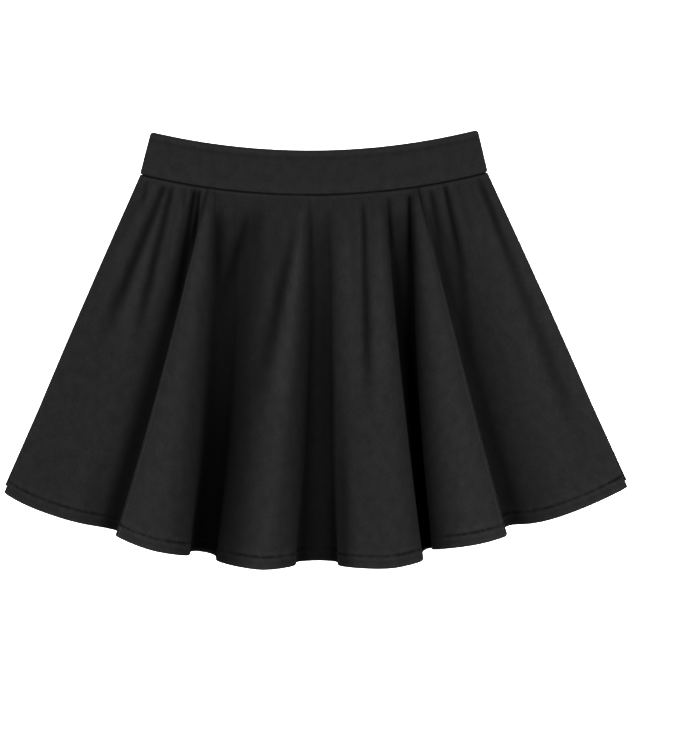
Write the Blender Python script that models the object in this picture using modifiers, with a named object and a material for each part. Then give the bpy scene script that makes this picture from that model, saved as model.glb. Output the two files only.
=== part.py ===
"""A swing skirt laid flat on a surface, seen from its front.

A wide shaped waistband sits over a front of three panels, whose flare stands in four long
hollow folds. A plain back panel lies flat under it, with a shallow ridge below each fold.
X runs to the right of the front as it is seen, Y up towards the waist and Z away from the
surface. The shape is worked out in millimetres and put into the meshes in metres.
"""

import bpy
import numpy as np

METRES = 0.001

# Cloth.
WALL = 1.3
BAND_WALL = 2.4
GAP = 0.3

# Plan of the skirt: the waist seam is an arc, and so is the hem, about the point where the
# two side seams would meet.
SKIRT_CENTRE_X = -5.2
SEAM_LOW_Y = 159.4
SEAM_RADIUS = 742.0
FLARE_APEX_Y = 585.0
HEM_RADIUS = 798.0
LEFT_SIDE_X = (-181.0, -322.6)  # at the waist and at the hem
RIGHT_SIDE_X = (178.9, 324.4)

# Plan of the waistband, whose lower edge follows the waist seam.
BAND_TOP_LOW_Y = 205.6
BAND_TOP_RADIUS = 718.0
BAND_AT_TOP_X = (-170.2, 168.9)
BAND_AT_SEAM_X = (-181.6, 179.3)
BAND_CROWN = 0.5  # rise of the front band's middle
BAND_COLUMNS = 26
BAND_ROWS = 3

# The back lies a little inside the front's outline.
BACK_INSET = 0.5
BACK_HEM_RADIUS = 793.0

# Heights of the middle of each wall above the surface.
BACK_LEVEL = WALL / 2
FRONT_LEVEL = WALL + GAP + WALL / 2
BACK_BAND_LEVEL = BAND_WALL / 2
FRONT_BAND_LEVEL = BAND_WALL + GAP + BAND_WALL / 2
SETTLE = 0.10  # share of the length in which the front sinks from the band to the back

# The four folds of the front. Places are X at the waist and at the hem, a bow is how far a
# line's middle moves sideways, the crest is a share of the way from the left edge to the
# right one, and a drop is how far the hem reaches past its arc.
FOLD_COLUMNS = (
    "name", "left_waist", "left_hem", "left_bow", "right_waist", "right_hem", "right_bow",
    "crest_waist", "crest_hem", "height", "left_edge", "right_edge", "left_tuck", "right_tuck",
    "left_drop", "crest_drop", "right_drop",
)  # fmt: skip
FOLD_TABLE = (
    ("outer left", -110.5, -204.9, 4.0, -101.5, -130.0, 0.0, 0.50, 0.46, 34.0, 14.0, 14.0, 5.0, 1.0, 5.5, 9.5, 11.0),
    ("inner left", -84.0, -102.0, 8.0, -6.5, -20.5, 0.0, 0.88, 0.58, 37.0, 5.0, 6.0, 1.0, 0.5, 13.0, 15.5, 13.0),
    ("inner right", 16.5, 24.4, 0.0, 71.5, 110.6, 0.0, 0.85, 0.62, 36.0, 9.0, 16.0, 2.5, 1.5, 13.5, 16.0, 14.0),
    ("outer right", 101.5, 120.5, -5.0, 108.5, 197.2, -1.5, 0.50, 0.60, 34.0, 14.0, 16.0, 1.0, 5.0, 4.0, 5.5, 7.0),
)  # fmt: skip
FOLD_GROWTH = 0.65  # the folds grow in height as this power of the way from waist to hem
EDGE_FOOT, EDGE_LOW, EDGE_HIGH = 0.1, 0.75, 1.2  # heights up a steep side, as shares of its edge
TOP_SHARES = (0.3, 0.65)  # where the top's lines lie between an edge and the crest
SIDE_DROPS = (0.3, 0.75, 1.0)  # how much of a fold's drop its foot, low and high lines have
WAIST_SPREAD = 3.0  # plan width of a fold's steep side where it starts, at the waist
TUCK_RAMP = 0.35  # share of the length in which a steep side reaches its full tuck

# The lines along which the front lies on the back, from left to right.
VALLEY_COLUMNS = ("waist", "hem", "bow", "height", "drop")
VALLEY_TABLE = (
    (-122.0, -214.5, 4.0, 0.0, 1.5),
    (-93.5, -116.5, 0.0, 0.0, 3.5),
    (5.0, 3.0, 0.0, 3.0, 4.5),
    (97.0, 116.0, -8.0, 0.0, 1.5),
    (115.5, 206.0, 0.0, 0.0, -2.5),
)

# The side panels' form, as shares of the way from the side seam to the nearest valley.
SIDE_COLUMNS = ("share", "height", "left_drop", "right_drop")
SIDE_TABLE = (
    (0.00, 0.0, 2.0, 1.5),
    (0.03, 1.2, 3.5, 2.5),
    (0.20, 2.5, 6.0, 3.6),
    (0.45, 4.0, 6.0, 4.8),
    (0.72, 4.0, 5.0, 4.6),
    (0.90, 1.5, 2.5, 1.4),
)

# Softer creases and the gathers under the waistband: X at the waist and at the hem, the
# stretch from waist to hem that each takes, and its rise, below zero for a trough.
CREASE_COLUMNS = ("waist", "hem", "start", "end", "rise", "width")
CREASE_TABLE = (
    (-160.5, -330.0, 0.01, 0.35, 1.2, 4.0),
    (-154.0, -250.0, 0.01, 0.60, 1.3, 4.5),
    (-154.0, -292.0, 0.01, 0.72, -2.2, 4.0),
    (-141.0, -205.0, 0.01, 0.50, 1.2, 5.0),
    (-50.0, -200.0, 0.03, 0.42, -1.8, 5.0),
    (-53.0, -60.0, 0.05, 0.52, 1.6, 7.0),
    (-23.0, -77.0, 0.10, 0.62, -2.0, 6.0),
    (-12.0, -50.0, 0.02, 0.60, 1.6, 5.0),
    (5.0, 5.0, 0.03, 0.95, 2.2, 5.0),
    (28.0, 38.0, 0.04, 0.60, 1.4, 6.0),
    (51.0, 58.0, 0.01, 0.62, -1.9, 4.0),
    (66.0, 78.0, 0.03, 0.55, 1.4, 4.5),
    (87.0, 90.0, 0.01, 0.20, 1.6, 4.0),
    (171.5, 306.0, 0.01, 0.95, -1.1, 4.0),
)
CREASE_START = 0.06  # share of the skirt's length in which a crease rises from nothing
CREASE_FADE = 0.45  # share of its own length over which it dies away
CREASE_SPREAD = 2.2  # how much wider it is a whole length of the skirt below its start

# The back's ridges, as shares of the fold of the front that covers each.
RIDGE_HEIGHT = 0.22
RIDGE_LINES = (-0.34, -0.2, -0.1, 0.0, 0.1, 0.2, 0.34)
RIDGE_PROFILE = (0.0, 0.0, 0.55, 1.0, 0.55, 0.0, 0.0)
RIDGE_START = 0.25
BACK_SIDE_LINES = 4  # level lines between a side seam and the nearest ridge

ROWS = 17
ROW_CROWDING = 1.3  # above 1, the rows stand closer near the waist
SIDE_STEPS = 4  # columns of faces for each line of the net
CENTRE_STEPS = 2
BACK_STEPS = 1

CLOTH_COLOUR = (0.022, 0.022, 0.023, 1.0)


def clear_scene():
    for old in list(bpy.data.objects):
        bpy.data.objects.remove(old, do_unlink=True)


def mix(a, b, t):
    return a + (b - a) * t


def smooth(t):
    """An S-curve from 0 to 1 that is level at both ends."""
    t = np.clip(t, 0.0, 1.0)
    return t * t * (3.0 - 2.0 * t)


def arc_y(x, low_y, radius):
    """Y on an arc that is lowest on the skirt's centre line."""
    return low_y + radius - np.sqrt(radius**2 - (x - SKIRT_CENTRE_X) ** 2)


def waist_y(x):
    return arc_y(x, SEAM_LOW_Y, SEAM_RADIUS) - GAP / 2


def hem_y(x, radius):
    return FLARE_APEX_Y - np.sqrt(radius**2 - (x - SKIRT_CENTRE_X) ** 2)


def cloth_line(ends, s, height, bow=0.0, shift=0.0, radius=HEM_RADIUS):
    """Points down one line of the cloth, from the waist (s = 0) to the hem (s = 1)."""
    waist, hem = ends
    x = mix(waist, hem, s) + bow * 4.0 * s * (1.0 - s) + shift
    y = mix(waist_y(waist), hem_y(hem, radius), s)
    return np.stack([x, y, height + 0.0 * s], axis=1)


def front_line(ends, s, height, drop, bow=0.0, shift=0.0):
    """A line of the front, whose height above the back grows from the waist to the hem."""
    floor = mix(FRONT_BAND_LEVEL, FRONT_LEVEL, smooth(s / SETTLE))
    z = floor + height * s**FOLD_GROWTH
    return cloth_line(ends, s, z, bow, shift, HEM_RADIUS + drop)


def fold_sides(fold, s, side, valley):
    """The three lines of a fold's steep side, from its foot to its upper edge."""
    outwards = -1.0 if side == "left" else 1.0
    ends = (fold[f"{side}_waist"], fold[f"{side}_hem"])
    edge, bow = fold[f"{side}_edge"], fold[f"{side}_bow"]
    drops = mix(valley["drop"], fold[f"{side}_drop"], np.array(SIDE_DROPS))
    formed = smooth(s / TUCK_RAMP)
    spread = WAIST_SPREAD * (1.0 - formed)
    foot_shift = outwards * (spread - fold[f"{side}_tuck"] * formed)
    return [
        front_line(ends, s, EDGE_FOOT * edge, drops[0], bow, foot_shift),
        front_line(ends, s, EDGE_LOW * edge, drops[1], bow, outwards * 0.4 * spread),
        front_line(ends, s, EDGE_HIGH * edge, drops[2], bow, -outwards * 0.4 * spread),
    ]


def fold_top(fold, s, side):
    """The lines between a fold's edge and its crest, on a parabola."""
    lines = []
    for share in TOP_SHARES:
        crest = np.array((fold["crest_waist"], fold["crest_hem"]))
        place = crest * share if side == "left" else mix(1.0, crest, share)
        left = np.array((fold["left_waist"], fold["left_hem"]))
        right = np.array((fold["right_waist"], fold["right_hem"]))
        ends = tuple(mix(left, right, place))
        rise = 1.0 - (1.0 - share) ** 2
        height = mix(EDGE_HIGH * fold[f"{side}_edge"], fold["height"], rise)
        drop = mix(fold[f"{side}_drop"], fold["crest_drop"], share)
        lines.append(front_line(ends, s, height, drop, (1.0 - share) * fold[f"{side}_bow"]))
    return lines


def crest_ends(fold):
    return (
        mix(fold["left_waist"], fold["right_waist"], fold["crest_waist"]),
        mix(fold["left_hem"], fold["right_hem"], fold["crest_hem"]),
    )


def fold_lines(fold, s, valleys):
    """All the lines of one fold, from the foot of its left side to the foot of its right."""
    crest = front_line(crest_ends(fold), s, fold["height"], fold["crest_drop"])
    left = fold_sides(fold, s, "left", valleys[0]) + fold_top(fold, s, "left")
    right = fold_sides(fold, s, "right", valleys[1]) + fold_top(fold, s, "right")
    return left + [crest] + right[::-1]


def creased(points, s):
    """The front with its softer creases, each a smooth bump across its line."""
    s = s[:, None]
    x, z = points[:, :, 0], points[:, :, 2]
    floor = mix(FRONT_BAND_LEVEL, FRONT_LEVEL, smooth(s / SETTLE))
    for crease in rows_of(CREASE_TABLE, CREASE_COLUMNS):
        fade = CREASE_FADE * (crease["end"] - crease["start"])
        strength = smooth((s - crease["start"]) / CREASE_START) * smooth((crease["end"] - s) / fade)
        width = crease["width"] * (1.0 + CREASE_SPREAD * np.maximum(s - crease["start"], 0.0))
        across = (x - mix(crease["waist"], crease["hem"], s)) / width
        z = z + crease["rise"] * strength * np.exp(-(across**2))
    points[:, :, 2] = np.maximum(z, floor)
    return points


def valley_line(valley, s):
    ends = (valley["waist"], valley["hem"])
    return front_line(ends, s, valley["height"], valley["drop"], valley["bow"])


def side_lines(s, side, valley):
    """The lines of a side panel, from its side seam inwards."""
    seam = LEFT_SIDE_X if side == "left" else RIGHT_SIDE_X
    lines = []
    for row in rows_of(SIDE_TABLE, SIDE_COLUMNS):
        ends = (mix(seam[0], valley["waist"], row["share"]), mix(seam[1], valley["hem"], row["share"]))
        lines.append(front_line(ends, s, row["height"], row[f"{side}_drop"]))
    return lines


def rows_of(table, columns):
    return [dict(zip(columns, row, strict=True)) for row in table]


def front_net(s):
    """The front's net of lines, and the places along it of the two shaping seams."""
    folds = rows_of(FOLD_TABLE, FOLD_COLUMNS)
    valleys = rows_of(VALLEY_TABLE, VALLEY_COLUMNS)
    lines = side_lines(s, "left", valleys[0])
    left_seam = len(lines) + 3
    for i, fold in enumerate(folds):
        lines += [valley_line(valleys[i], s)] + fold_lines(fold, s, valleys[i : i + 2])
    right_seam = len(lines) - 3
    lines += [valley_line(valleys[-1], s)] + side_lines(s, "right", valleys[-1])[::-1]
    return np.stack(lines, axis=1), left_seam, right_seam


def back_net(s):
    """The back's net: level, with a shallow ridge under each fold of the front."""
    growth = s**FOLD_GROWTH * smooth((s - RIDGE_START) / RIDGE_START)
    waists, hems, heights = [], [], []
    for fold in rows_of(FOLD_TABLE, FOLD_COLUMNS):
        for offset, profile in zip(RIDGE_LINES, RIDGE_PROFILE, strict=True):
            waists.append(mix(fold["left_waist"], fold["right_waist"], 0.5 + offset))
            hems.append(mix(fold["left_hem"], fold["right_hem"], 0.5 + offset))
            heights.append(RIDGE_HEIGHT * fold["height"] * profile)
    level = [0.0] * BACK_SIDE_LINES
    outwards = np.linspace(1.0, 0.0, BACK_SIDE_LINES, endpoint=False)
    left = mix(np.array((waists[0], hems[0])), np.array(LEFT_SIDE_X) + BACK_INSET, outwards[:, None])
    right = mix(np.array((waists[-1], hems[-1])), np.array(RIGHT_SIDE_X) - BACK_INSET, outwards[::-1, None])
    waists = [*left[:, 0], *waists, *right[:, 0]]
    hems = [*left[:, 1], *hems, *right[:, 1]]
    heights = [*level, *heights, *level]
    lines = [
        cloth_line((waist, hem), s, BACK_LEVEL + height * growth, radius=BACK_HEM_RADIUS)
        for waist, hem, height in zip(waists, hems, heights, strict=True)
    ]
    return np.stack(lines, axis=1)


def spline_across(net, places):
    """The uniform cubic B-spline over the net's lines, read at the given places across it."""
    before = 2.0 * net[:, :1] - net[:, 1:2]
    after = 2.0 * net[:, -1:] - net[:, -2:-1]
    held = np.concatenate([before, net, after], axis=1)
    first = np.clip(np.floor(places).astype(int), 0, net.shape[1] - 2)
    t = (places - first)[None, :, None]
    weights = (
        (1.0 - t) ** 3 / 6.0,
        (3.0 * t**3 - 6.0 * t**2 + 4.0) / 6.0,
        (-3.0 * t**3 + 3.0 * t**2 + 3.0 * t + 1.0) / 6.0,
        t**3 / 6.0,
    )
    return sum(weight * held[:, first + i] for i, weight in enumerate(weights))


def panel(net, s, start, end, steps, open_ends=(False, False)):
    """The surface between two places of the net, drawn back by half a gap at a seam.

    The spline cuts a little inside the waist seam's arc, so each column is moved back to it.
    """
    places = np.linspace(start, end, (end - start) * steps + 1)
    points = spline_across(net, places)
    off_seam = waist_y(points[:1, :, 0]) - points[:1, :, 1]
    points[:, :, 1] += off_seam * (1.0 - s[:, None])
    for column, inner, at_seam in ((0, 1, open_ends[0]), (-1, -2, open_ends[1])):
        if at_seam:
            inwards = points[:, inner] - points[:, column]
            length = np.linalg.norm(inwards, axis=1, keepdims=True)
            points[:, column] += inwards / length * GAP / 2
    return points


def band_points(level, inset, crown):
    """The waistband's middle surface: rows from the top edge down to the waist seam."""
    across = np.linspace(0.0, 1.0, BAND_COLUMNS + 1)[None, :]
    up = np.linspace(1.0, 0.0, BAND_ROWS + 1)[:, None]
    bottom_x = mix(BAND_AT_SEAM_X[0] + inset, BAND_AT_SEAM_X[1] - inset, across)
    top_x = mix(BAND_AT_TOP_X[0] + inset, BAND_AT_TOP_X[1] - inset, across)
    bottom_y = arc_y(bottom_x, SEAM_LOW_Y, SEAM_RADIUS) + GAP / 2
    top_y = arc_y(top_x, BAND_TOP_LOW_Y, BAND_TOP_RADIUS) - inset
    x = mix(bottom_x, top_x, up)
    y = mix(bottom_y, top_y, up)
    z = level + crown * 4.0 * up * (1.0 - up) + 0.0 * x
    return np.stack([x, y, z], axis=2)


def cloth_material():
    material = bpy.data.materials.new("black cotton")
    material.use_nodes = True
    shader = material.node_tree.nodes["Principled BSDF"]
    shader.inputs["Base Color"].default_value = CLOTH_COLOUR
    shader.inputs["Roughness"].default_value = 0.9
    shader.inputs["Metallic"].default_value = 0.0
    return material


def cloth_object(name, points, wall, collection):
    """A closed cloth piece: the grid of points thickened to a wall about its middle."""
    rows, columns, _ = points.shape
    index = np.arange(rows * columns).reshape(rows, columns)
    quads = np.stack([index[:-1, :-1], index[1:, :-1], index[1:, 1:], index[:-1, 1:]], axis=2)
    mesh = bpy.data.meshes.new(name)
    mesh.from_pydata((points.reshape(-1, 3) * METRES).tolist(), [], quads.reshape(-1, 4).tolist())
    mesh.materials.append(cloth_material())
    mesh.shade_smooth()
    piece = bpy.data.objects.new(name, mesh)
    collection.objects.link(piece)
    shell = piece.modifiers.new("wall", "SOLIDIFY")
    shell.thickness = wall * METRES
    shell.offset = 0.0
    return piece


def build():
    clear_scene()
    collection = bpy.data.collections.new("swing skirt")
    bpy.context.scene.collection.children.link(collection)
    s = np.linspace(0.0, 1.0, ROWS) ** ROW_CROWDING
    net, left_seam, right_seam = front_net(s)
    last = net.shape[1] - 1
    back = back_net(s)
    side_left = creased(panel(net, s, 0, left_seam, SIDE_STEPS, (False, True)), s)
    centre = creased(panel(net, s, left_seam, right_seam, CENTRE_STEPS, (True, True)), s)
    side_right = creased(panel(net, s, right_seam, last, SIDE_STEPS, (True, False)), s)
    pieces = (
        ("front_side_left", side_left, WALL),
        ("front_centre", centre, WALL),
        ("front_side_right", side_right, WALL),
        ("back_panel", panel(back, s, 0, back.shape[1] - 1, BACK_STEPS), WALL),
        ("waistband_front", band_points(FRONT_BAND_LEVEL, 0.0, BAND_CROWN), BAND_WALL),
        ("waistband_back", band_points(BACK_BAND_LEVEL, BACK_INSET, 0.0), BAND_WALL),
    )
    for name, points, wall in pieces:
        cloth_object(name, points, wall, collection)


build()
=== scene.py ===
# %% [markdown]
# # A black swing skirt, laid flat
#
# The real skirt is cut from black stretch cotton. A wide shaped waistband holds a front of
# three panels and a back of one, and so much flare is cut into the panels that, laid on a
# table, the front stands up in four long folds.
#
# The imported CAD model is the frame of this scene: it gives the size and the place of every
# piece. Its walls are plain, so each one is hidden here and a finer piece of cloth takes its
# place, with its creases, rolled edges and stitches.

import math

import bpy
import numpy as np
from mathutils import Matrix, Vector


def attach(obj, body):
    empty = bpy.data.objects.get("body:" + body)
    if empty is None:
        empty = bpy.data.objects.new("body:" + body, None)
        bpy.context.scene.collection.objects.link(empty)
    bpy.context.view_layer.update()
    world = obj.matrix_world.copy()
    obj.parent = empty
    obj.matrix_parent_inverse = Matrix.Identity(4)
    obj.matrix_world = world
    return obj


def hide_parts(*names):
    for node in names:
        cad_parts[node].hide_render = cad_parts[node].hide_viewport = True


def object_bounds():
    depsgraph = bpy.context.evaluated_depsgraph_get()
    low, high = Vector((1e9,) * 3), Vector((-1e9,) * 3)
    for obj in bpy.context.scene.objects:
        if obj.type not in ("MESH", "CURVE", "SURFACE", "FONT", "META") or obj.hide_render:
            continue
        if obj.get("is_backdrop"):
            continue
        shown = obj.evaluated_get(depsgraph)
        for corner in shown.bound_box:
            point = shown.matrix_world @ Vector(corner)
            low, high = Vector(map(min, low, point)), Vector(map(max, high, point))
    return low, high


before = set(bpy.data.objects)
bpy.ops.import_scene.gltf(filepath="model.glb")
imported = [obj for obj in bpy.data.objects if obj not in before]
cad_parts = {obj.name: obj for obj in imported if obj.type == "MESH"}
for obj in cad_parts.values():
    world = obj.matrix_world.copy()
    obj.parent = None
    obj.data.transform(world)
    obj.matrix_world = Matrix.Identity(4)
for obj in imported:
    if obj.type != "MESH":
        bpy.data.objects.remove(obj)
cad_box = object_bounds()
print("CAD nodes:", ", ".join(sorted(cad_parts)))

# %% [markdown]
# ## The plan of the skirt
#
# A flared skirt is a piece of a ring: its waist and its hem are arcs, and its side seams
# point at one place above it. Everything is worked out in millimetres, with X to the right
# of the front, Y up towards the waist and Z away from the table. A place on the cloth is
# named by s, which runs from 0 at the waist seam to 1 at the hem.

# %% Measures of the plan
METRES = 0.001
WALL = 1.2
BAND_WALL = 2.3
SEAM_GAP = 0.06

SKIRT_CENTRE_X = -5.2
SEAM_LOW_Y = 159.4
SEAM_RADIUS = 742.0
FLARE_APEX_Y = 585.0
HEM_RADIUS = 798.0
BACK_HEM_RADIUS = 793.0
BACK_INSET = 0.5
LEFT_SIDE_X = (-181.0, -322.6)  # at the waist and at the hem
RIGHT_SIDE_X = (178.9, 324.4)

BACK_LEVEL = 0.65
FRONT_LEVEL = 2.25
BACK_BAND_LEVEL = 1.2
FRONT_BAND_LEVEL = 3.9
SETTLE = 0.10  # share of the length in which the front sinks from the band to the back


def mix(a, b, t):
    """The value a share t of the way from a to b."""
    return a + (b - a) * t


def smooth(t):
    """3 t^2 - 2 t^3: an S-curve from 0 to 1, level at both ends."""
    t = np.clip(t, 0.0, 1.0)
    return t * t * (3.0 - 2.0 * t)


def bump(distance, width):
    """exp(-(distance / width)^2): 1 on a line, and gone two widths away from it."""
    return np.exp(-((distance / width) ** 2))


def waist_y(x):
    """The waist seam, an arc that is lowest on the skirt's centre line."""
    rise = SEAM_RADIUS - np.sqrt(SEAM_RADIUS**2 - (x - SKIRT_CENTRE_X) ** 2)
    return SEAM_LOW_Y + rise - SEAM_GAP / 2


def hem_y(x, radius):
    """The hem, an arc about the point where the two side seams would meet."""
    return FLARE_APEX_Y - np.sqrt(radius**2 - (x - SKIRT_CENTRE_X) ** 2)


centre_length = waist_y(SKIRT_CENTRE_X) - hem_y(SKIRT_CENTRE_X, HEM_RADIUS)
print("waist seam to hem at the centre:", round(centre_length), "mm")

# %% [markdown]
# ## The front as a net of lines
#
# A fold of flared cloth is widest at the hem and dies away at the waist, and its edges are
# nearly straight. So the front could be modelled as a surface that follows a few long lines,
# from the waist down: the foot, the steep side and the crest of each fold, and the valleys
# between them. A cloth simulation would give folds as real, but not these ones. Lines placed
# Lines given one by one put every fold where it lies on the real skirt.
#
# Each line carries a fourth number, its tone, which the material multiplies the black by. It is
# painted light and shade: about 1 on the open cloth, above 1 on the crests of the folds, and
# falling towards 0 at the bottom of a deep valley, where it is painted shade. It is set to look
# right under this scene's lights, so part of the light and shade is in the cloth's colour and
# stays there under another light.

# %% Tables of the folds and the valleys
FOLD_COLUMNS = (
    "left_waist", "left_hem", "left_bow", "left_flare", "right_waist", "right_hem", "right_bow",
    "crest_waist", "crest_hem", "height", "left_edge", "right_edge", "left_tuck", "right_tuck",
    "left_drop", "crest_drop", "right_drop",
)  # fmt: skip
FOLD_TABLE = (  # from left to right: outer left, inner left, inner right, outer right
    (-112.5, -204.9, 4.6, 6.0, -101.5, -130.0, 2.0, 0.50, 0.50, 34.0, 14.0, 10.0, 5.0, -5.0, 5.5, 9.5, 11.0),
    (-82.0, -102.0, 9.5, 0.0, -3.0, -20.5, 1.5, 0.88, 0.58, 37.0, 5.0, 6.0, -3.0, -3.0, 13.0, 14.5, 12.0),
    (16.5, 24.4, 0.0, 0.0, 71.5, 111.2, -2.5, 0.85, 0.62, 36.0, 9.0, 16.0, -4.0, 1.5, 12.5, 16.0, 14.2),
    (101.5, 121.5, -5.0, 0.0, 107.0, 197.6, -1.5, 0.50, 0.60, 34.0, 14.0, 16.0, 1.0, 5.0, 4.2, 5.8, 6.0),
)  # fmt: skip
TONE_COLUMNS = (
    "left_foot", "left_low", "left_high", "left_top", "crest", "right_top", "right_high",
    "right_low", "right_foot", "left_ramp", "right_ramp",
)  # fmt: skip
TONE_TABLE = (  # a ramp is the share of the length in which a side reaches its full painted shade
    (0.50, 1.00, 1.16, 1.20, 1.20, 1.20, 0.92, 0.42, 0.05, 0.22, 0.80),
    (0.01, 0.08, 0.32, 0.78, 1.28, 1.30, 0.74, 0.52, 0.48, 0.80, 0.70),
    (0.24, 0.46, 1.10, 1.24, 1.16, 1.26, 1.04, 0.50, 0.03, 0.60, 0.50),
    (0.02, 0.06, 0.34, 1.22, 1.28, 1.24, 1.20, 1.00, 0.66, 0.22, 1.20),
)
VALLEY_COLUMNS = ("waist", "hem", "bow", "height", "drop", "tone", "ramp")
VALLEY_TABLE = (
    (-122.0, -214.5, 4.0, 0.0, 1.5, 0.32, 0.22),
    (-93.5, -116.5, 10.0, 0.0, 4.8, 0.00, 0.85),
    (5.0, 3.0, 0.0, 3.0, 6.3, 0.32, 0.50),
    (97.0, 116.0, -8.0, 0.0, 3.6, 0.02, 0.50),
    (115.5, 206.0, 0.0, 0.0, -2.5, 0.58, 1.20),
)
SIDE_COLUMNS = ("share", "height", "left_drop", "right_drop", "left_tone", "right_tone")
SIDE_TABLE = (  # shares of the way from the side seam to the nearest valley
    (0.00, 0.0, 2.0, 1.5, 1.04, 1.16),
    (0.03, 1.2, 3.5, 2.5, 1.04, 1.16),
    (0.20, 2.5, 6.0, 3.6, 1.00, 1.14),
    (0.45, 4.0, 6.0, 4.8, 1.02, 1.16),
    (0.72, 4.0, 5.0, 4.6, 1.08, 0.92),
    (0.90, 1.5, 2.5, 1.4, 0.92, 0.60),
)

FOLD_GROWTH = 0.65  # the folds grow in height as this power of the way from waist to hem
EDGE_FOOT, EDGE_LOW, EDGE_HIGH = 0.1, 0.75, 1.2  # heights up a steep side, as shares of its edge
TOP_SHARES = (0.3, 0.65)  # where the top's lines lie between an edge and the crest
SIDE_DROPS = (0.3, 0.75, 1.0)  # how much of a fold's drop its foot, low and high lines have
SIDE_BOW = 2.0  # how far the side seams bulge, half way down
WAIST_SPREAD = 4.0  # plan width of a fold's steep side where it starts, at the waist
NARROW_LEAN = 0.11  # most that a side leans, as a share of its fold's width
FLARE_END = 0.3  # share of the length in which a flare at the waist dies away
TUCK_RAMP = 0.35  # share of the length in which a steep side reaches its full tuck
STEEPENS = 0.7  # share of the length from which a side that spreads grows steep again
TONE_RAMP = 0.22  # the ramp of the lines that have none in a table
ONSET, ONSET_SHARE = 0.16, 0.4  # the painted shade comes in two stages, and the first is short


def rows_of(table, columns):
    return [dict(zip(columns, row, strict=True)) for row in table]


# %% Lines of the net
def cloth_line(ends, s, height, tone=1.0, bow=0.0, shift=0.0, radius=HEM_RADIUS):
    """A line from the waist arc to the hem arc: straight, but for bow * 4 s (1 - s) sideways."""
    waist, hem = ends
    x = mix(waist, hem, s) + bow * 4.0 * s * (1.0 - s) + shift
    y = mix(waist_y(waist), hem_y(hem, radius), s)
    return np.stack([x, y, height + 0.0 * s, tone + 0.0 * s], axis=1)


def front_line(ends, s, height, drop, tone, bow=0.0, shift=0.0, ramp=TONE_RAMP):
    """A line of the front: its height above the back is height * s^FOLD_GROWTH.

    Its tone falls from 1 in two stages: a share of the way by ONSET, the rest by its ramp. The tone is
    painted shade below 1 and painted light above it.
    """
    floor = mix(FRONT_BAND_LEVEL, FRONT_LEVEL, smooth(s / SETTLE))
    z = floor + height * s**FOLD_GROWTH
    shade = mix(1.0, tone, mix(smooth(s / ramp), smooth(s / ONSET), ONSET_SHARE))
    return cloth_line(ends, s, z, shade, bow, shift, HEM_RADIUS + drop)


def fold_sides(fold, tones, s, side, valley):
    """Three lines up a fold's steep side, which leans over its own foot by the tuck.

    Where the tuck is below 0 the side leans the other way, and spreads towards the valley.
    """
    outwards = -1.0 if side == "left" else 1.0
    ends = (fold[f"{side}_waist"], fold[f"{side}_hem"])
    edge, bow = fold[f"{side}_edge"], fold[f"{side}_bow"]
    drops = mix(valley["drop"], fold[f"{side}_drop"], np.array(SIDE_DROPS))
    formed = smooth(s / TUCK_RAMP)
    tuck = fold[f"{side}_tuck"]
    eased = 1.0 if tuck > 0.0 else 1.0 - smooth((s - STEEPENS) / (1.0 - STEEPENS))
    spread = WAIST_SPREAD * (1.0 - formed) - tuck * formed * eased
    width = mix(fold["right_waist"] - fold["left_waist"], fold["right_hem"] - fold["left_hem"], s)
    lean = np.minimum(0.4 * np.maximum(spread, 0.0), NARROW_LEAN * width)
    flare = fold.get(f"{side}_flare", 0.0) * np.clip(1.0 - s / FLARE_END, 0.0, 1.0) ** 2
    foot, low, high = (tones[f"{side}_{part}"] for part in ("foot", "low", "high"))
    ramp = tones[f"{side}_ramp"]
    return [
        front_line(ends, s, EDGE_FOOT * edge, drops[0], foot, bow, flare + outwards * spread, ramp),
        front_line(ends, s, EDGE_LOW * edge, drops[1], low, bow, flare + outwards * lean, ramp),
        front_line(ends, s, EDGE_HIGH * edge, drops[2], high, bow, flare - outwards * lean, ramp),
    ]


def fold_top(fold, tones, s, side):
    """The lines between a fold's edge and its crest, on the parabola 1 - (1 - share)^2."""
    left = np.array((fold["left_waist"], fold["left_hem"]))
    right = np.array((fold["right_waist"], fold["right_hem"]))
    crest = np.array((fold["crest_waist"], fold["crest_hem"]))
    high, top = tones[f"{side}_high"], tones[f"{side}_top"]
    lines = []
    for share, tone in zip(TOP_SHARES, (mix(high, top, 0.6), mix(top, tones["crest"], 0.5)), strict=True):
        place = crest * share if side == "left" else mix(1.0, crest, share)
        rise = 1.0 - (1.0 - share) ** 2
        height = mix(EDGE_HIGH * fold[f"{side}_edge"], fold["height"], rise)
        drop = mix(fold[f"{side}_drop"], fold["crest_drop"], share)
        bow = (1.0 - share) * fold[f"{side}_bow"]
        lines.append(front_line(tuple(mix(left, right, place)), s, height, drop, tone, bow))
    return lines


def fold_lines(fold, tones, s, valleys):
    """The eleven lines of one fold, from the foot of its left side to that of its right."""
    crest_ends = (
        mix(fold["left_waist"], fold["right_waist"], fold["crest_waist"]),
        mix(fold["left_hem"], fold["right_hem"], fold["crest_hem"]),
    )
    crest = front_line(crest_ends, s, fold["height"], fold["crest_drop"], tones["crest"])
    left = fold_sides(fold, tones, s, "left", valleys[0]) + fold_top(fold, tones, s, "left")
    right = fold_sides(fold, tones, s, "right", valleys[1]) + fold_top(fold, tones, s, "right")
    return left + [crest] + right[::-1]


def valley_line(valley, s):
    ends = (valley["waist"], valley["hem"])
    tone, ramp = valley["tone"], valley["ramp"]
    return front_line(ends, s, valley["height"], valley["drop"], tone, valley["bow"], ramp=ramp)


def side_lines(s, side, valley):
    """The lines of a side panel, from its side seam inwards."""
    seam, outwards = (LEFT_SIDE_X, -1.0) if side == "left" else (RIGHT_SIDE_X, 1.0)
    lines = []
    for row in rows_of(SIDE_TABLE, SIDE_COLUMNS):
        ends = (mix(seam[0], valley["waist"], row["share"]), mix(seam[1], valley["hem"], row["share"]))
        bow = outwards * SIDE_BOW * (1.0 - row["share"])
        lines.append(front_line(ends, s, row["height"], row[f"{side}_drop"], row[f"{side}_tone"], bow))
    return lines


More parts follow.
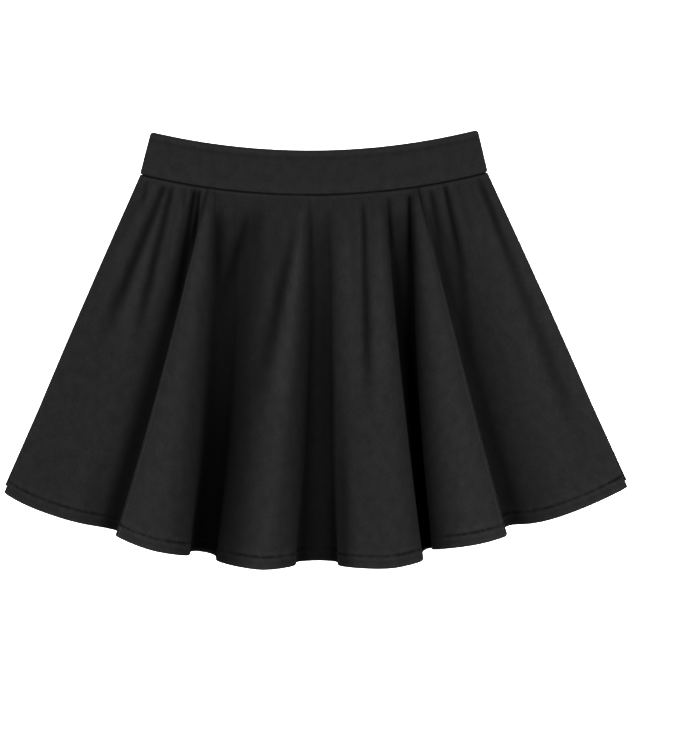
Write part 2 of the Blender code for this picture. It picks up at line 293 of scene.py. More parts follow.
def front_net(s):
    """The front's lines side by side, and the places among them of the two shaping seams."""
    folds = rows_of(FOLD_TABLE, FOLD_COLUMNS)
    tones = rows_of(TONE_TABLE, TONE_COLUMNS)
    valleys = rows_of(VALLEY_TABLE, VALLEY_COLUMNS)
    lines = side_lines(s, "left", valleys[0])
    left_seam = len(lines) + 3
    for i, (fold, tone) in enumerate(zip(folds, tones, strict=True)):
        lines += [valley_line(valleys[i], s)] + fold_lines(fold, tone, s, valleys[i : i + 2])
    right_seam = len(lines) - 3
    lines += [valley_line(valleys[-1], s)] + side_lines(s, "right", valleys[-1])[::-1]
    return np.stack(lines, axis=1), left_seam, right_seam


# %% [markdown]
# ## From the net to a surface
#
# Cloth bends smoothly from one line to the next. A cubic B-spline drawn across the net at
# every height does that: it comes near each line without a corner, and its tightest bends
# are where the lines stand close together, on the steep sides of the folds.
#
# The rows and columns of the surface aren't evenly spaced. They crowd at the hem, where the
# stitched turn-up needs them, and at every edge, which is rolled.

# %% The surface across the net
PANEL_LENGTH = 372.0
EDGE_ROWS = (0.0, 0.12, 0.4, 0.85)  # distances from an edge, in millimetres
EDGE_PLACES = (0.0, 0.02, 0.06, 0.12)  # the same across the net, in steps between lines
HEM_BAND = 17.0


def row_places():
    """Places down the cloth, from 0 to 1: every 2.6 mm, closer by the waist and the hem."""
    waist = np.arange(1.6, 12.0, 1.3)
    middle = np.arange(12.0, PANEL_LENGTH - HEM_BAND, 2.6)
    hem = np.arange(PANEL_LENGTH - HEM_BAND, PANEL_LENGTH - 1.2, 0.75)
    edges = np.array(EDGE_ROWS)
    distances = np.concatenate([edges, waist, middle, hem, PANEL_LENGTH - edges[::-1]])
    return distances / PANEL_LENGTH


def column_places(start, end, steps):
    """Places across the net from one line to another, closer at both ends."""
    edges = np.array(EDGE_PLACES)
    even = np.linspace(start, end, (end - start) * steps + 1)[1:-1]
    return np.concatenate([start + edges, even, end - edges[::-1]])


def spline_across(net, places):
    """The uniform cubic B-spline over the net's lines, read at the given places across it."""
    before = 2.0 * net[:, :1] - net[:, 1:2]
    after = 2.0 * net[:, -1:] - net[:, -2:-1]
    held = np.concatenate([before, net, after], axis=1)
    first = np.clip(np.floor(places).astype(int), 0, net.shape[1] - 2)
    t = (places - first)[None, :, None]
    weights = (
        (1.0 - t) ** 3 / 6.0,
        (3.0 * t**3 - 6.0 * t**2 + 4.0) / 6.0,
        (-3.0 * t**3 + 3.0 * t**2 + 3.0 * t + 1.0) / 6.0,
        t**3 / 6.0,
    )
    return sum(weight * held[:, first + i] for i, weight in enumerate(weights))


def panel(net, s, places, open_ends=(False, False)):
    """The surface over some of the net, moved back onto the waist seam and off its neighbours."""
    points = spline_across(net, places)
    off_seam = waist_y(points[:1, :, 0]) - points[:1, :, 1]
    points[:, :, 1] += off_seam * (1.0 - s[:, None])
    for column, inner, at_seam in ((0, 1, open_ends[0]), (-1, -2, open_ends[1])):
        if at_seam:
            inwards = points[:, inner, :3] - points[:, column, :3]
            length = np.linalg.norm(inwards, axis=1, keepdims=True)
            points[:, column, :3] += inwards / length * SEAM_GAP / 2
    return points


# %% [markdown]
# ## Creases and gathers
#
# Below the waistband the extra cloth starts as small gathers, and softer creases run on from
# them between the folds. Each is a smooth bump or trough along a straight line, which comes
# and goes over a stretch of its length. Their places and depths are uneven, as they are on
# the real skirt.

# %% Creases of the front
CREASE_COLUMNS = ("waist", "hem", "start", "end", "rise", "width", "swell")
FRONT_CREASES = (
    # Left side panel: gathers that fan out from the waistband.
    (-154.0, -292.0, 0.005, 0.52, -2.0, 3.8, 0.025),
    (-147.0, -233.0, 0.005, 0.50, -1.9, 3.4, 0.025),
    (-124.0, -184.0, 0.000, 0.42, -3.0, 3.2, 0.025),
    (-119.3, -166.0, 0.000, 0.20, -2.9, 2.2, 0.025),
    (-133.5, -190.0, 0.005, 0.08, -1.1, 2.5, 0.025),
    (-173.5, -240.0, 0.005, 0.10, -1.0, 2.5, 0.025),
    (-141.0, -205.0, 0.010, 0.50, 1.2, 5.0, 0.050),
    (-132.0, -205.0, 0.010, 0.25, 1.2, 3.0, 0.025),
    (-160.5, -330.0, 0.010, 0.35, 1.2, 4.0, 0.025),
    (-154.0, -250.0, 0.010, 0.60, 0.6, 4.5, 0.060),
    (-137.0, -238.0, 0.660, 1.60, -0.5, 7.0, 0.300),
    # Centre panel: the softer ridges and grooves on the tops of the folds.
    (-100.0, -100.0, 0.040, 0.32, -1.4, 5.5, 0.060),
    (-89.0, -96.0, 0.030, 0.30, 1.2, 4.0, 0.040),
    (-63.4, -169.6, 0.030, 0.38, -1.7, 4.5, 0.060),
    (-55.0, -120.0, 0.010, 0.17, -1.1, 7.0, 0.060),
    (-53.0, -60.0, 0.050, 0.52, 1.6, 7.0, 0.100),
    (-13.4, -96.4, 0.040, 0.62, -1.7, 5.0, 0.180),
    (-9.4, -55.4, 0.020, 0.60, 1.6, 4.5, 0.080),
    (5.0, 5.0, 0.030, 0.95, 2.2, 5.0, 0.060),
    (26.0, 35.0, 0.040, 0.60, 1.4, 6.0, 0.080),
    (22.0, 31.0, 0.500, 1.90, -1.5, 4.5, 0.350),
    (50.0, 58.5, 0.015, 0.62, -2.1, 2.8, 0.050),
    (66.0, 78.0, 0.030, 0.55, 1.4, 4.5, 0.060),
    (77.0, 84.0, 0.010, 0.18, -1.6, 2.4, 0.025),
    (87.0, 90.0, 0.010, 0.20, 1.6, 4.0, 0.025),
    (98.0, 100.0, 0.010, 0.22, -2.8, 2.6, 0.025),
    # Right side panel.
    (119.0, 190.0, 0.005, 0.20, -1.7, 3.0, 0.025),
    (134.0, 212.0, 0.000, 0.27, -2.3, 2.6, 0.025),
    (143.0, 177.0, 0.150, 0.58, -1.1, 4.0, 0.100),
    (141.0, 238.0, 0.005, 0.35, 1.3, 3.0, 0.025),
    (153.0, 240.0, 0.005, 0.25, 0.9, 3.5, 0.025),
    (129.0, 190.0, 0.010, 0.18, 1.0, 3.5, 0.025),
    (169.0, 299.0, 0.005, 0.95, -1.1, 3.8, 0.050),
    (169.0, 299.0, 0.000, 0.32, -0.9, 2.8, 0.025),
)
CREASE_FADE = 0.45  # share of its own length over which it dies away
CREASE_SPREAD = 2.2  # how much wider it is a whole length of the skirt below its start
CREASE_TONE = 0.42  # share of its light that the cloth loses for each millimetre of a trough
CLEAR_OF_BACK = 2.0  # lowest level of the front's middle surface


def creased(points, s, table):
    """Adds the creases: rise * strength(s) * exp(-(distance / width)^2) for each, to the height.

    The tone changes with it, more on the line and the other way at its sides, as the cloth
    beside a ridge lies in its shade and the cloth beside a trough stands out of it.
    """
    s = s[:, None]
    x, z, tone = points[:, :, 0], points[:, :, 2], points[:, :, 3]
    for crease in rows_of(table, CREASE_COLUMNS):
        fade = CREASE_FADE * (crease["end"] - crease["start"])
        strength = smooth((s - crease["start"]) / crease["swell"]) * smooth((crease["end"] - s) / fade)
        height = crease["rise"] * strength
        off_line = x - mix(crease["waist"], crease["hem"], s)
        width = crease["width"] * (1.0 + CREASE_SPREAD * np.maximum(s - crease["start"], 0.0))
        z = z + height * bump(off_line, width)
        contrast = bump(off_line, width) - 0.35 * bump(off_line, 2.0 * width)
        tone = tone * np.clip(1.0 + CREASE_TONE * height * contrast, 0.2, 1.08)
    points[:, :, 2] = np.maximum(z, CLEAR_OF_BACK)
    points[:, :, 3] = tone
    return points


# %% [markdown]
# ## A sheet with two faces
#
# Cloth this thick shows its edge at the hem and at the seams, so a single sheet of faces
# isn't enough. The Solidify modifier could thicken it, but its edge would be square. Here
# both faces are made from the same grid, and their distance from the middle follows a
# quarter circle near the border, so that every edge is rolled and closed.

# %% Helpers for sheets
def arc_lengths(points, axis):
    """Distance along the surface from the first row or column, row by row or column by column."""
    steps = np.linalg.norm(np.diff(points[..., :3], axis=axis), axis=2)
    return np.insert(np.cumsum(steps, axis=axis), 0, 0.0, axis=axis)


def normals_of(points):
    """The surface's unit normals: the cross product of its slopes down and across the grid."""
    down = np.gradient(points[..., :3], axis=0)
    across = np.gradient(points[..., :3], axis=1)
    normal = np.cross(down, across)
    return normal / np.linalg.norm(normal, axis=2, keepdims=True)


def rolled(distance, radius):
    """sqrt(1 - (1 - d / r)^2): a quarter circle from 0 on the edge to 1 a radius inside it."""
    inside = np.clip(distance / radius, 0.0, 1.0)
    return np.sqrt(1.0 - (1.0 - inside) ** 2)


def edge_roll(points, radii):
    """How far the faces stand apart, from 0 to 1, for the radii of the top, bottom, left and right edges."""
    down = arc_lengths(points, 0)
    across = arc_lengths(points, 1)
    top, bottom, left, right = radii
    rows = rolled(down, top) * rolled(down[-1:] - down, bottom)
    return rows * rolled(across, left) * rolled(across[:, -1:] - across, right)


def quads_of(index):
    """Faces between neighbouring points of a grid, which look up when rows run down the page."""
    corners = (index[:-1, :-1], index[1:, :-1], index[1:, 1:], index[:-1, 1:])
    return np.stack(corners, axis=2).reshape(-1, 4)


def put_mesh(name, points, faces, tone, cloth_uv):
    """An object at the origin from points in millimetres, with its tone and its cloth map."""
    mesh = bpy.data.meshes.new(name)
    mesh.from_pydata((points * METRES).tolist(), [], faces.tolist())
    mesh.attributes.new("tone", "FLOAT", "POINT").data.foreach_set("value", tone.astype(np.float32))
    corners = np.empty(len(mesh.loops), np.int32)
    mesh.loops.foreach_get("vertex_index", corners)
    layer = mesh.uv_layers.new(name="cloth")
    layer.data.foreach_set("uv", (cloth_uv * METRES)[corners].astype(np.float32).ravel())
    mesh.shade_smooth()
    piece = bpy.data.objects.new(name, mesh)
    bpy.context.scene.collection.objects.link(piece)
    print(f"{name}: {len(mesh.vertices)} points, {len(mesh.polygons)} faces")
    return piece


def sheet_piece(name, points, half):
    """A closed sheet about the middle surface: points hold x, y, z and tone, half is half the wall."""
    rows, columns, _ = points.shape
    middle, tone = points[..., :3], points[..., 3]
    offset = normals_of(points) * half[..., None]
    upper = np.arange(rows * columns).reshape(rows, columns)
    under = upper.copy()
    under[1:-1, 1:-1] = rows * columns + np.arange((rows - 2) * (columns - 2)).reshape(rows - 2, -1)
    across = arc_lengths(points, 1)
    across = across - across[:, columns // 2, None]  # the weave runs straight down the middle
    cloth_uv = np.stack([across, arc_lengths(points, 0)], axis=2)
    inner = (slice(1, -1), slice(1, -1))
    return put_mesh(
        name,
        np.concatenate([(middle + offset).reshape(-1, 3), (middle - offset)[inner].reshape(-1, 3)]),
        np.concatenate([quads_of(upper), quads_of(under)[:, ::-1]]),
        np.concatenate([tone.ravel(), tone[inner].ravel()]),
        np.concatenate([cloth_uv.reshape(-1, 2), cloth_uv[inner].reshape(-1, 2)]),
    )


# %% [markdown]
# ## The sewn hem
#
# The hem is turned up once and held by a row of stitches 13 mm above the edge, with a fainter
# line half way to the edge. The thread pulls the cloth into a shallow groove, and the turn-up
# puckers a little on both sides of it. All of this is added along the cloth's own normal, so
# that it follows the hem round every fold.

# %% Turn-up, grooves and puckers
STITCH_LINE = 12.7  # distance from the hem's edge
EDGE_LINE = 6.6
TURN_UP_RISE = 0.25
EDGE_LIGHT = 0.5  # least tone of the very edge, which the light reaches also in a valley
PUCKER_LENGTH = 8.5
PUCKER_RISE = 0.38
STITCH_GROOVE, EDGE_GROOVE = 0.30, 0.18  # depths of the two lines
STITCH_DARK, EDGE_DARK = 0.34, 0.05  # share of its light that the cloth loses along each


def pucker(across, seed):
    """Three sine waves of unlike lengths along the seam, so that no two puckers are the same."""
    phases = np.random.default_rng(seed).uniform(0.0, 2.0 * np.pi, 3)
    lengths = PUCKER_LENGTH * np.array((1.0, 1.43, 2.31))
    return sum(np.sin(2.0 * np.pi * across / n + p) for n, p in zip(lengths, phases, strict=True)) / 3.0


def hemmed(points, seed):
    """The cloth with its hem: turn-up - grooves + puckers, all along the normal."""
    up = arc_lengths(points, 0)
    up = up[-1:] - up
    across = arc_lengths(points, 1)[-1:]
    rise = TURN_UP_RISE * smooth((STITCH_LINE + 0.8 - up) / 1.6)
    rise = rise - STITCH_GROOVE * bump(up - STITCH_LINE, 0.9) - EDGE_GROOVE * bump(up - EDGE_LINE, 0.8)
    near_lines = bump(up - STITCH_LINE, 3.4) + 0.4 * bump(up - 3.0, 4.0)
    rise = rise + PUCKER_RISE * pucker(across + 0.5 * up, seed) * near_lines
    points[..., :3] += normals_of(points) * rise[..., None]

    # Painted shade in dashes along both lines, painted light on the ridges beside them and on the edge.
    uneven = pucker(1.3 * across, seed + 7) + pucker(0.2 * across, seed + 5)
    dashes = np.clip(0.8 + 1.1 * uneven, 0.1, 1.8)
    flecks = pucker(1.9 * across + 0.4 * up, seed + 11)
    lines = STITCH_DARK * dashes * bump(up - STITCH_LINE, 1.5)
    lines = lines + EDGE_DARK * dashes[:, ::-1] * bump(up - EDGE_LINE, 1.2)
    ridges = (0.10 + 0.10 * flecks) * bump(up - STITCH_LINE - 4.0, 2.4)
    ridges = ridges + (0.10 - 0.08 * flecks) * bump(up - 9.4, 1.8) + 0.08 * bump(up - 2.0, 2.0)
    points[..., 3] *= 1.0 - lines + ridges
    points[..., 3] = np.maximum(points[..., 3], EDGE_LIGHT * bump(up - 1.8, 1.6))
    return points


# %% Front panels
SIDE_STEPS = 10
CENTRE_STEPS = 6
HEM_ROLL, SEAM_ROLL, SIDE_ROLL, WAIST_ROLL = 0.8, 1.3, 0.9, 1.5
SEAM_STITCHES = 2.6  # distance of the topstitching from a shaping seam
SEAM_OPENS = 0.35  # below this share of the length a seam has painted light on its ridge, not painted shade along its line

s = row_places()
net, left_seam, right_seam = front_net(s)
last = net.shape[1] - 1
PANEL_PLANS = (
    ("front_side_left_cloth", (0, left_seam), SIDE_STEPS, (False, True), (SIDE_ROLL, SEAM_ROLL)),
    ("front_centre_cloth", (left_seam, right_seam), CENTRE_STEPS, (True, True), (SEAM_ROLL, SEAM_ROLL)),
    ("front_side_right_cloth", (right_seam, last), SIDE_STEPS, (True, False), (SEAM_ROLL, SIDE_ROLL)),
)
front_grids = {}
pieces = {}
for seed, (name, span, steps, open_ends, side_rolls) in enumerate(PANEL_PLANS):
    grid = creased(panel(net, s, column_places(*span, steps), open_ends), s, FRONT_CREASES)
    grid = hemmed(grid, seed)
    roll = edge_roll(grid, (WAIST_ROLL, HEM_ROLL, *side_rolls))
    down, across = arc_lengths(grid, 0), arc_lengths(grid, 1)
    # Painted shade in the groove along the waist seam, and painted light on the cloth just below it.
    grid[..., 3] *= 1.0 - 0.80 * bump(down, 1.0) + 0.18 * bump(down - 3.0, 1.5)
    # Painted shade along each shaping seam and its topstitching near the waist, which turns into painted
    # light on the seam further down.
    for off_seam, at_seam in ((across, open_ends[0]), (across[:, -1:] - across, open_ends[1])):
        if at_seam:
            dark = 0.5 * bump(off_seam, 0.9) + 0.25 * bump(off_seam - SEAM_STITCHES, 0.8)
            grid[..., 3] *= 1.0 + mix(-dark, 0.2 * bump(off_seam, 1.6), smooth(s[:, None] / SEAM_OPENS))
    front_grids[name] = grid
    pieces[name] = sheet_piece(name, grid, 0.5 * WALL * roll)

# %% [markdown]
# ## The back panel
#
# The back is one panel. It lies face down under the front, flat on the table, and its own
# flare rises a little under each fold of the front. Nothing of it shows from above, so it is
# left plain, with no creases of its own.

# %% Back panel
RIDGE_HEIGHT = 0.22
RIDGE_LINES = (-0.34, -0.2, -0.1, 0.0, 0.1, 0.2, 0.34)
RIDGE_PROFILE = (0.0, 0.0, 0.55, 1.0, 0.55, 0.0, 0.0)
RIDGE_START = 0.25
BACK_SIDE_LINES = 4
BACK_STEPS = 5


def back_net(s):
    """The back's net: level, with a shallow ridge under each fold of the front."""
    growth = s**FOLD_GROWTH * smooth((s - RIDGE_START) / RIDGE_START)
    waists, hems, heights = [], [], []
    for fold in rows_of(FOLD_TABLE, FOLD_COLUMNS):
        for offset, profile in zip(RIDGE_LINES, RIDGE_PROFILE, strict=True):
            waists.append(mix(fold["left_waist"], fold["right_waist"], 0.5 + offset))
            hems.append(mix(fold["left_hem"], fold["right_hem"], 0.5 + offset))
            heights.append(RIDGE_HEIGHT * fold["height"] * profile)
    level = [0.0] * BACK_SIDE_LINES
    outwards = np.linspace(1.0, 0.0, BACK_SIDE_LINES, endpoint=False)
    left = mix(np.array((waists[0], hems[0])), np.array(LEFT_SIDE_X) + BACK_INSET, outwards[:, None])
    right = mix(np.array((waists[-1], hems[-1])), np.array(RIGHT_SIDE_X) - BACK_INSET, outwards[::-1, None])
    waists = [*left[:, 0], *waists, *right[:, 0]]
    hems = [*left[:, 1], *hems, *right[:, 1]]
    heights = [*level, *heights, *level]
    lines = [
        cloth_line((waist, hem), s, BACK_LEVEL + height * growth, radius=BACK_HEM_RADIUS)
        for waist, hem, height in zip(waists, hems, heights, strict=True)
    ]
    return np.stack(lines, axis=1)


back = back_net(s)
back_grid = panel(back, s, column_places(0, back.shape[1] - 1, BACK_STEPS))
roll = edge_roll(back_grid, (WAIST_ROLL, HEM_ROLL, SIDE_ROLL, SIDE_ROLL))
pieces["back_panel_cloth"] = sheet_piece("back_panel_cloth", back_grid, 0.5 * WALL * roll)

# %% [markdown]
# ## The waistband
#
# The waistband is a wide band cut to the curve of the waist, double and stiffened, so it
# stays smooth where the skirt below it gathers. Each half could be an extruded outline with a
# bevel. A grid from the top edge to the seam takes the same helpers as the cloth, and its
# corners are rounded by pressing each little corner square into a quarter of a disc.

# %% Waistband
BAND_TOP_LOW_Y = 205.6
BAND_TOP_RADIUS = 718.0
BAND_AT_TOP_X = (-170.2, 168.9)
BAND_AT_SEAM_X = (-181.6, 179.3)
BAND_CROWN = 0.5
BAND_LENGTH = 361.0
BAND_HEIGHT = 45.0
CORNER = 3.4
BAND_ROLL = 2.4
BAND_LINE = 8.0  # distance of the understitched line from the top edge
BAND_GROOVE = 0.22


def crowded(length, spacing):
    """Distances from 0 to length, evenly spaced and closer at both ends."""
    edges = np.array((0.0, 0.08, 0.3, 0.7, 1.3, 2.0))
    even = np.arange(2.8, length - 2.0, spacing)
    return np.concatenate([edges, even, length - edges[::-1]])


def corners_rounded(a, b, radius):
    """Each corner square, as shares p and q of its radius, goes to (p sqrt(1 - q^2/2), q sqrt(1 - p^2/2))."""
    p = np.clip(np.maximum(radius - a, a - (BAND_LENGTH - radius)) / radius, 0.0, 1.0)
    q = np.clip(np.maximum(radius - b, b - (BAND_HEIGHT - radius)) / radius, 0.0, 1.0)
    a_out = np.sign(a - BAND_LENGTH / 2) * radius * (p * np.sqrt(1.0 - q**2 / 2.0) - p)
    b_out = np.sign(b - BAND_HEIGHT / 2) * radius * (q * np.sqrt(1.0 - p**2 / 2.0) - q)
    return a + a_out, b + b_out


def band_grid(level, inset, crown, seed):
    """One half of the waistband: rows from its top edge down to the seam, columns across it."""
    a, b = np.meshgrid(crowded(BAND_LENGTH, 2.0), crowded(BAND_HEIGHT, 1.1))
    a, b = corners_rounded(a, b, CORNER)
    across, up = a / BAND_LENGTH, 1.0 - b / BAND_HEIGHT
    bottom_x = mix(BAND_AT_SEAM_X[0] + inset, BAND_AT_SEAM_X[1] - inset, across)
    top_x = mix(BAND_AT_TOP_X[0] + inset, BAND_AT_TOP_X[1] - inset, across)
    bottom_y = waist_y(bottom_x) + SEAM_GAP
    top_rise = BAND_TOP_RADIUS - np.sqrt(BAND_TOP_RADIUS**2 - (top_x - SKIRT_CENTRE_X) ** 2)
    top_y = BAND_TOP_LOW_Y + top_rise - inset
    z = level + crown * 4.0 * up * (1.0 - up) - BAND_GROOVE * bump(b - BAND_LINE, 1.2)
    z = z + 0.10 * pucker(a * 0.35 + b * 0.2, seed) + 0.06 * pucker(a - b, seed + 1)
    z = np.maximum(z, level)
    # Painted shade in the seam at the band's foot and along the understitched line, and painted light below
    # the top edge and just above the seam.
    from_seam = BAND_HEIGHT - b
    dark = 0.8 * bump(from_seam, 0.9) + 0.14 * bump(b - BAND_LINE, 2.4)
    lit = 0.16 * bump(b - 3.5, 2.8) + 0.06 * bump(from_seam - 6.0, 4.0)
    tone = 1.10 - dark + lit
    return np.stack([mix(bottom_x, top_x, up), mix(bottom_y, top_y, up), z, tone], axis=2)


for name, level, inset, crown, seed in (
    ("waistband_front_cloth", FRONT_BAND_LEVEL, 0.0, BAND_CROWN, 20),
    ("waistband_back_cloth", BACK_BAND_LEVEL, BACK_INSET, 0.0, 30),
):
    grid = band_grid(level, inset, crown, seed)
    roll = edge_roll(grid, (BAND_ROLL, BAND_ROLL, BAND_ROLL, BAND_ROLL))
    pieces[name] = sheet_piece(name, grid, 0.5 * BAND_WALL * roll)

# %% [markdown]
# ## Stitches
#
# The hem is held by a row of stitches, and the two shaping seams of the front are topstitched
# on both sides. A thread could be one long tube, but a machine stitch shows only its upper
# half: short lengths of thread that dip into the cloth at both ends. Each one here is a small
# spindle from one needle hole to the next, and a whole row is made at once.

# %% Rows of stitches
STITCH_LENGTH = 2.3
STITCH_GAP = 0.7
THREAD_RADIUS = 0.28
SPINDLE = ((0.0, 0.05, -0.22), (0.2, 0.9, 0.05), (0.5, 1.0, 0.12), (0.8, 0.9, 0.05), (1.0, 0.05, -0.22))
SPINDLE_SIDES = 5
HEM_THREAD_TONE = 0.5  # painted shade: the hem's stitches lie deep in their groove
SEAM_THREAD_TONE = 2.2  # painted light: those of the seams stand on it, this many times as light as the cloth's tone under them


def path_above_hem(points, half, distance):
    """The upper face at one distance from the hem: points, normals and thread tone across it."""
    up = arc_lengths(points, 0)
    up = up[-1:] - up
    normal = normals_of(points)
    face = points[..., :3] + normal * half[..., None]
    row = np.searchsorted(-up[:, 0], -distance)
    t = ((up[row - 1] - distance) / (up[row - 1] - up[row]))[:, None]
    tone = np.full(len(t), HEM_THREAD_TONE)
    return mix(face[row - 1], face[row], t), mix(normal[row - 1], normal[row], t), tone


def path_beside_seam(points, half, distance, side):
    """The upper face at one distance from a shaping seam: points, normals and thread tone down it."""
    across = arc_lengths(points, 1)
    normal = normals_of(points)
    cloth = np.concatenate([points[..., :3] + normal * half[..., None], normal, points[..., 3:]], axis=2)
    if side == "right":
        across, cloth = across[:, ::-1], cloth[:, ::-1]
        across = across[:, :1] - across
    column = (across < distance).sum(axis=1)
    rows = np.arange(len(points))
    before, after = across[rows, column - 1], across[rows, column]
    t = ((distance - before) / (after - before))[:, None]
    found = mix(cloth[rows, column - 1], cloth[rows, column], t)
    return found[:, :3], found[:, 3:6], SEAM_THREAD_TONE * found[:, 6]


def stitches_along(path, normal, tone):
    """Spindles along a path: rings of points about each stitch, the faces between them and their tone."""
    along = np.insert(np.cumsum(np.linalg.norm(np.diff(path, axis=0), axis=1)), 0, 0.0)
    starts = np.arange(0.8, along[-1] - STITCH_LENGTH, STITCH_LENGTH + STITCH_GAP)
    profile = np.array(SPINDLE)
    places = starts[:, None] + profile[None, :, 0] * STITCH_LENGTH
    centre = np.stack([np.interp(places, along, path[:, i]) for i in range(3)], axis=2)
    up = np.stack([np.interp(places, along, normal[:, i]) for i in range(3)], axis=2)
    ahead = np.gradient(centre, axis=1)
    ahead /= np.linalg.norm(ahead, axis=2, keepdims=True)
    sideways = np.cross(up, ahead)
    centre = centre + up * profile[None, :, 2, None]
    angle = np.linspace(0.0, 2.0 * np.pi, SPINDLE_SIDES, endpoint=False)
    ring = sideways[:, :, None] * np.cos(angle)[:, None] + up[:, :, None] * np.sin(angle)[:, None]
    points = centre[:, :, None] + ring * (THREAD_RADIUS * profile[:, 1])[None, :, None, None]
    index = np.arange(points[..., 0].size).reshape(points.shape[:3])
    turned = np.roll(index, -1, axis=2)
    corners = (index[:, :-1], turned[:, :-1], turned[:, 1:], index[:, 1:])
    tones = np.repeat(np.interp(starts, along, tone), len(SPINDLE) * SPINDLE_SIDES)
    return points.reshape(-1, 3), np.stack(corners, axis=3).reshape(-1, 4), tones


def stitch_piece(name, paths):
    """All the rows of stitches on one piece of cloth, as one object."""
    points, faces, tones, count = [], [], [], 0
    for path in paths:
        row_points, row_faces, row_tones = stitches_along(*path)
        points.append(row_points)
        faces.append(row_faces + count)
        tones.append(row_tones)
        count += len(row_points)
    points, faces, tones = (np.concatenate(rows) for rows in (points, faces, tones))
    return put_mesh(name, points, faces, tones, points[:, :2])


threads = {}
for name, grid in front_grids.items():
    half = np.full(grid.shape[:2], 0.5 * WALL)
    paths = [path_above_hem(grid, half, STITCH_LINE)]
    if name != "front_side_left_cloth":
        paths.append(path_beside_seam(grid, half, SEAM_STITCHES, "left"))
    if name != "front_side_right_cloth":
        paths.append(path_beside_seam(grid, half, SEAM_STITCHES, "right"))
    threads[name] = stitch_piece(name.replace("cloth", "stitches"), paths)

# %% [markdown]
# ## Black cotton
#
# Black cotton isn't one flat black. It is a weave of threads half a millimetre apart, matt,
# with a faint bloom of loose fibre that catches light at a low angle, and its dye is a little
# uneven. The weave follows the cloth, so it is read from each piece's own map, which is in
# metres of cloth. The dye's mottling is read in space.

# %% Cloth material
CLOTH_BLACK = (0.0290, 0.0290, 0.0293, 1.0)
THREAD_PITCH = 0.00055  # metres from one thread of the weave to the next


def new_material(name, colour, roughness):
    material = bpy.data.materials.new(name)
    material.use_nodes = True
    shader = material.node_tree.nodes["Principled BSDF"]
    shader.inputs["Base Color"].default_value = colour
    shader.inputs["Roughness"].default_value = roughness
    return material, shader


def add_node(material, kind, operation=None, **values):
    """A node of the given kind with some of its sockets set, for short and readable chains."""
    node = material.node_tree.nodes.new(kind)
    if operation:
        node.operation = operation
    for socket, value in values.items():
        node.inputs[int(socket[1:]) if socket[0] == "_" else socket].default_value = value
    return node


def about_one(material, noise, amount):
    """A noise from 0.3 to 0.7 as a factor from 1 - amount to 1 + amount."""
    node = add_node(material, "ShaderNodeMapRange")
    ends = {"From Min": 0.3, "From Max": 0.7, "To Min": 1.0 - amount, "To Max": 1.0 + amount}
    for socket, value in ends.items():
        node.inputs[socket].default_value = value
    material.node_tree.links.new(noise.outputs[0], node.inputs["Value"])
    return node


def cotton_material():
    material, shader = new_material("black cotton", CLOTH_BLACK, 0.93)
    link = material.node_tree.links.new
    shader.inputs["Specular IOR Level"].default_value = 0.1
    shader.inputs["Sheen Weight"].default_value = 0.02
    shader.inputs["Sheen Roughness"].default_value = 0.6

    # Warp and weft: sine waves across and along the cloth, one thread to a wave.
    cloth_map = add_node(material, "ShaderNodeUVMap")
    cloth_map.uv_map = "cloth"
    split = add_node(material, "ShaderNodeSeparateXYZ")
    link(cloth_map.outputs[0], split.inputs[0])
    waves = []
    for axis in (0, 1):
        turns = add_node(material, "ShaderNodeMath", "MULTIPLY", _1=2.0 * math.pi / THREAD_PITCH)
        wave = add_node(material, "ShaderNodeMath", "SINE")
        link(split.outputs[axis], turns.inputs[0])
        link(turns.outputs[0], wave.inputs[0])
        waves.append(wave)
    weave = add_node(material, "ShaderNodeMath", "MULTIPLY")
    link(waves[0].outputs[0], weave.inputs[0])
    link(waves[1].outputs[0], weave.inputs[1])

    # Loose fibre and the dye's mottling: noise in space, fine and coarse.
    space = add_node(material, "ShaderNodeTexCoord")
    grain = add_node(material, "ShaderNodeTexNoise", Scale=700.0, Detail=3.0)
    link(space.outputs["Object"], grain.inputs["Vector"])
    along = add_node(material, "ShaderNodeMapping", Scale=(1.0, 0.7, 1.0))
    mottle = add_node(material, "ShaderNodeTexNoise", Scale=110.0, Detail=3.5)
    link(cloth_map.outputs[0], along.inputs["Vector"])
    link(along.outputs[0], mottle.inputs["Vector"])

    relief = add_node(material, "ShaderNodeMath", "MULTIPLY_ADD", _1=0.3)
    link(weave.outputs[0], relief.inputs[0])
    link(grain.outputs[0], relief.inputs[2])
    bumps = add_node(material, "ShaderNodeBump", Strength=0.5, Distance=0.0003)
    link(relief.outputs[0], bumps.inputs["Height"])
    link(bumps.outputs[0], shader.inputs["Normal"])

    # Colour: black, times the mottling about 1, times the tone of the place on the cloth, which is painted
    # light and shade.
    dye = about_one(material, mottle, 0.09)
    fleck = about_one(material, grain, 0.12)
    tone = add_node(material, "ShaderNodeAttribute")
    tone.attribute_name = "tone"
    depth = add_node(material, "ShaderNodeMath", "MULTIPLY")
    link(dye.outputs[0], depth.inputs[0])
    link(fleck.outputs[0], depth.inputs[1])
    shade = add_node(material, "ShaderNodeMath", "MULTIPLY")
    link(depth.outputs[0], shade.inputs[0])
    link(tone.outputs["Fac"], shade.inputs[1])
    scaled = add_node(material, "ShaderNodeVectorMath", "SCALE")
    scaled.inputs[0].default_value = CLOTH_BLACK[:3]
    link(shade.outputs[0], scaled.inputs["Scale"])
    link(scaled.outputs[0], shader.inputs["Base Color"])
    return material


cotton = cotton_material()
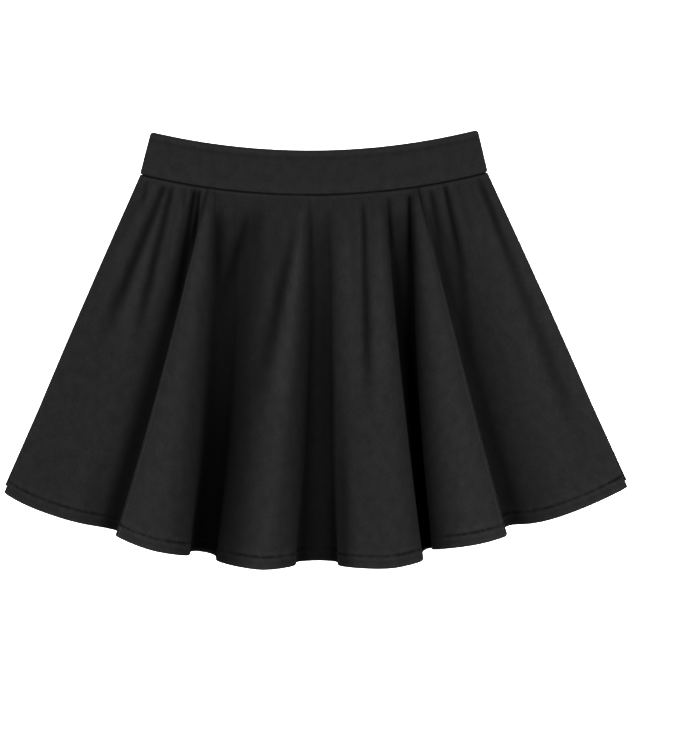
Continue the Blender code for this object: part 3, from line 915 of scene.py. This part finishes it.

# %% [markdown]
# ## Tie the pieces to the frame
#
# Every piece of cloth takes the place of one solid of the CAD model, which stays hidden for
# collisions, and moves with the skirt's one rigid body. The stitches are added on top. The
# table gives each sheet a flat size and an area; those of the three front panels are about a
# fifth over the cloth that is built here.

# %% Replace and ride
SHEETS = (
    ("front_side_left_cloth", "front_side_left", (0.24, 0.39), 0.052),
    ("front_centre_cloth", "front_centre", (0.62, 0.41), 0.165),
    ("front_side_right_cloth", "front_side_right", (0.24, 0.39), 0.053),
    ("back_panel_cloth", "back_panel", (0.66, 0.40), 0.19),
    ("waistband_front_cloth", "waistband_front", (0.361, 0.067), 0.0155),
    ("waistband_back_cloth", "waistband_back", (0.361, 0.067), 0.0155),
)
for name, node, flat, area in SHEETS:
    piece = pieces[name]
    piece.data.materials.append(cotton)
    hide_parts(node)
    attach(piece, "root")
for piece in threads.values():
    piece.data.materials.append(cotton)
    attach(piece, "root")

# %% [markdown]
# ## Table, light and camera
#
# The skirt lies on a white table and is seen from straight above. Two long soft lights stand
# at its left and right, so that the folds show: a strong light above would fill their valleys,
# so the one there is faint. The table is wide, so that a low view still ends in it.

# %% Table
TABLE_HALF = 14.0
table_mesh = bpy.data.meshes.new("table")
corners = ((-1, -1), (1, -1), (1, 1), (-1, 1))
table_mesh.from_pydata([(TABLE_HALF * x, TABLE_HALF * y, 0.0) for x, y in corners], [], [(0, 1, 2, 3)])
table = bpy.data.objects.new("table", table_mesh)
bpy.context.scene.collection.objects.link(table)
white, white_shader = new_material("white table", (0.9, 0.9, 0.9, 1.0), 0.8)
white_shader.inputs["Emission Color"].default_value = (1.0, 1.0, 1.0, 1.0)
white_shader.inputs["Emission Strength"].default_value = 0.5
table_mesh.materials.append(white)
table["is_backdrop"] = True

# %% Lights
LIGHTS = (  # name, place, width and height in metres, watts
    ("left light", (-1.7, 0.0, 1.4), (1.6, 0.6), 102.0),
    ("right light", (1.7, 0.0, 1.4), (1.6, 0.6), 102.0),
    ("top light", (0.0, 0.9, 2.2), (1.6, 0.8), 3.4),
)
for name, place, (width, height), watts in LIGHTS:
    light = bpy.data.lights.new(name, "AREA")
    light.shape = "RECTANGLE"
    light.size, light.size_y, light.energy = width, height, watts
    lamp = bpy.data.objects.new(name, light)
    lamp.location = place
    lamp.rotation_euler = (-Vector(place)).to_track_quat("-Z", "Y").to_euler()
    bpy.context.scene.collection.objects.link(lamp)

world = bpy.data.worlds.new("studio")
world.use_nodes = True
world.node_tree.nodes["Background"].inputs["Color"].default_value = (1.0, 1.0, 1.0, 1.0)
world.node_tree.nodes["Background"].inputs["Strength"].default_value = 0.02
bpy.context.scene.world = world

# %% Camera
camera_data = bpy.data.cameras.new("camera")
camera_data.lens = 85.0
camera = bpy.data.objects.new("camera", camera_data)
camera.location = (0.026, -0.01916, 1.8024)
bpy.context.scene.collection.objects.link(camera)
bpy.context.scene.camera = camera
bpy.context.scene.view_settings.view_transform = "Standard"
bpy.context.scene.view_settings.gamma = 0.6

# %% Measure and finish
boxes = {"cad": cad_box, "visual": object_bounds()}


def plain(value):
    """Vectors and tuples as plain lists of numbers."""
    return float(value) if isinstance(value, (int, float)) else [plain(part) for part in value]


sizes = {name: plain(box) for name, box in boxes.items()}
print("boxes:", sizes)
